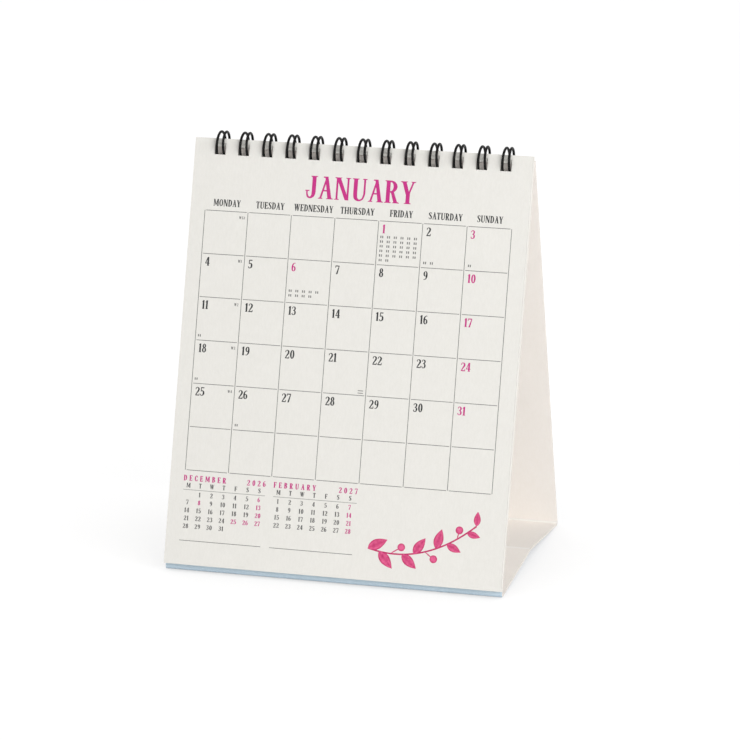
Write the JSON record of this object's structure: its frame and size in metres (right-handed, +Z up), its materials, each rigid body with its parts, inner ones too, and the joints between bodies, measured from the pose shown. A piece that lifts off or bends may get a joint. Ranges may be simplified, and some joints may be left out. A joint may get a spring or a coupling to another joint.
{
  "type": "desk calendar",
  "caption": "Standing desk calendar: a folded card tent carrying a pad of monthly sheets on a twin-loop wire binding, so that the sheets turn over the top.",
  "frame": {"origin": "on the table, under the middle of the whole object", "axes": "+Z up; -Y is the side that the front sheet faces; X runs along the wire"},
  "size_m": [0.12, 0.0878, 0.1469],
  "materials": {
    "sheet_paper": "matte",
    "card_outside": "matte",
    "card_inside": "matte",
    "wire": "satin"
  },
  "bodies": {
    "stand": {"stand_front_panel": "card_outside", "stand_base_front": "card_inside", "stand_base_rear": "card_inside", "stand_back_panel": "card_outside", "wire_binding": "wire"},
    "sheet_01_january": {"sheet_01_january": "sheet_paper"},
    "sheet_02_february": {"sheet_02_february": "sheet_paper"},
    "sheet_03_march": {"sheet_03_march": "sheet_paper"},
    "sheet_04_april": {"sheet_04_april": "sheet_paper"},
    "sheet_05_may": {"sheet_05_may": "sheet_paper"},
    "sheet_06_june": {"sheet_06_june": "sheet_paper"},
    "sheet_07_july": {"sheet_07_july": "sheet_paper"},
    "sheet_08_august": {"sheet_08_august": "sheet_paper"},
    "sheet_09_september": {"sheet_09_september": "sheet_paper"},
    "sheet_10_october": {"sheet_10_october": "sheet_paper"},
    "sheet_11_november": {"sheet_11_november": "sheet_paper"},
    "sheet_12_december": {"sheet_12_december": "sheet_paper"}
  },
  "joints": [
    {"name": "sheet_01_turn", "type": "hinge", "parent": "stand", "child": "sheet_01_january", "pos_m": [0, 0.00093, 0.14198], "axis": [-1, 0, 0], "range_deg": [0, 190]},
    {"name": "sheet_02_turn", "type": "hinge", "parent": "stand", "child": "sheet_02_february", "pos_m": [0, 0.00093, 0.14198], "axis": [-1, 0, 0], "range_deg": [0, 143]},
    {"name": "sheet_03_turn", "type": "hinge", "parent": "stand", "child": "sheet_03_march", "pos_m": [0, 0.00093, 0.14198], "axis": [-1, 0, 0], "range_deg": [0, 143]},
    {"name": "sheet_04_turn", "type": "hinge", "parent": "stand", "child": "sheet_04_april", "pos_m": [0, 0.00093, 0.14198], "axis": [-1, 0, 0], "range_deg": [0, 143]},
    {"name": "sheet_05_turn", "type": "hinge", "parent": "stand", "child": "sheet_05_may", "pos_m": [0, 0.00093, 0.14198], "axis": [-1, 0, 0], "range_deg": [0, 143]},
    {"name": "sheet_06_turn", "type": "hinge", "parent": "stand", "child": "sheet_06_june", "pos_m": [0, 0.00093, 0.14198], "axis": [-1, 0, 0], "range_deg": [0, 143]},
    {"name": "sheet_07_turn", "type": "hinge", "parent": "stand", "child": "sheet_07_july", "pos_m": [0, 0.00093, 0.14198], "axis": [-1, 0, 0], "range_deg": [0, 143]},
    {"name": "sheet_08_turn", "type": "hinge", "parent": "stand", "child": "sheet_08_august", "pos_m": [0, 0.00093, 0.14198], "axis": [-1, 0, 0], "range_deg": [0, 143]},
    {"name": "sheet_09_turn", "type": "hinge", "parent": "stand", "child": "sheet_09_september", "pos_m": [0, 0.00093, 0.14198], "axis": [-1, 0, 0], "range_deg": [0, 143]},
    {"name": "sheet_10_turn", "type": "hinge", "parent": "stand", "child": "sheet_10_october", "pos_m": [0, 0.00093, 0.14198], "axis": [-1, 0, 0], "range_deg": [0, 143]},
    {"name": "sheet_11_turn", "type": "hinge", "parent": "stand", "child": "sheet_11_november", "pos_m": [0, 0.00093, 0.14198], "axis": [-1, 0, 0], "range_deg": [0, 143]},
    {"name": "sheet_12_turn", "type": "hinge", "parent": "stand", "child": "sheet_12_december", "pos_m": [0, 0.00093, 0.14198], "axis": [-1, 0, 0], "range_deg": [0, 143]}
  ],
  "couplings": [
    {"joint": "sheet_02_turn", "follows": "sheet_01_turn", "ratio": 0.75},
    {"joint": "sheet_03_turn", "follows": "sheet_01_turn", "ratio": 0.75},
    {"joint": "sheet_04_turn", "follows": "sheet_01_turn", "ratio": 0.75},
    {"joint": "sheet_05_turn", "follows": "sheet_01_turn", "ratio": 0.75},
    {"joint": "sheet_06_turn", "follows": "sheet_01_turn", "ratio": 0.75},
    {"joint": "sheet_07_turn", "follows": "sheet_01_turn", "ratio": 0.75},
    {"joint": "sheet_08_turn", "follows": "sheet_01_turn", "ratio": 0.75},
    {"joint": "sheet_09_turn", "follows": "sheet_01_turn", "ratio": 0.75},
    {"joint": "sheet_10_turn", "follows": "sheet_01_turn", "ratio": 0.75},
    {"joint": "sheet_11_turn", "follows": "sheet_01_turn", "ratio": 0.75},
    {"joint": "sheet_12_turn", "follows": "sheet_01_turn", "ratio": 0.75}
  ]
}
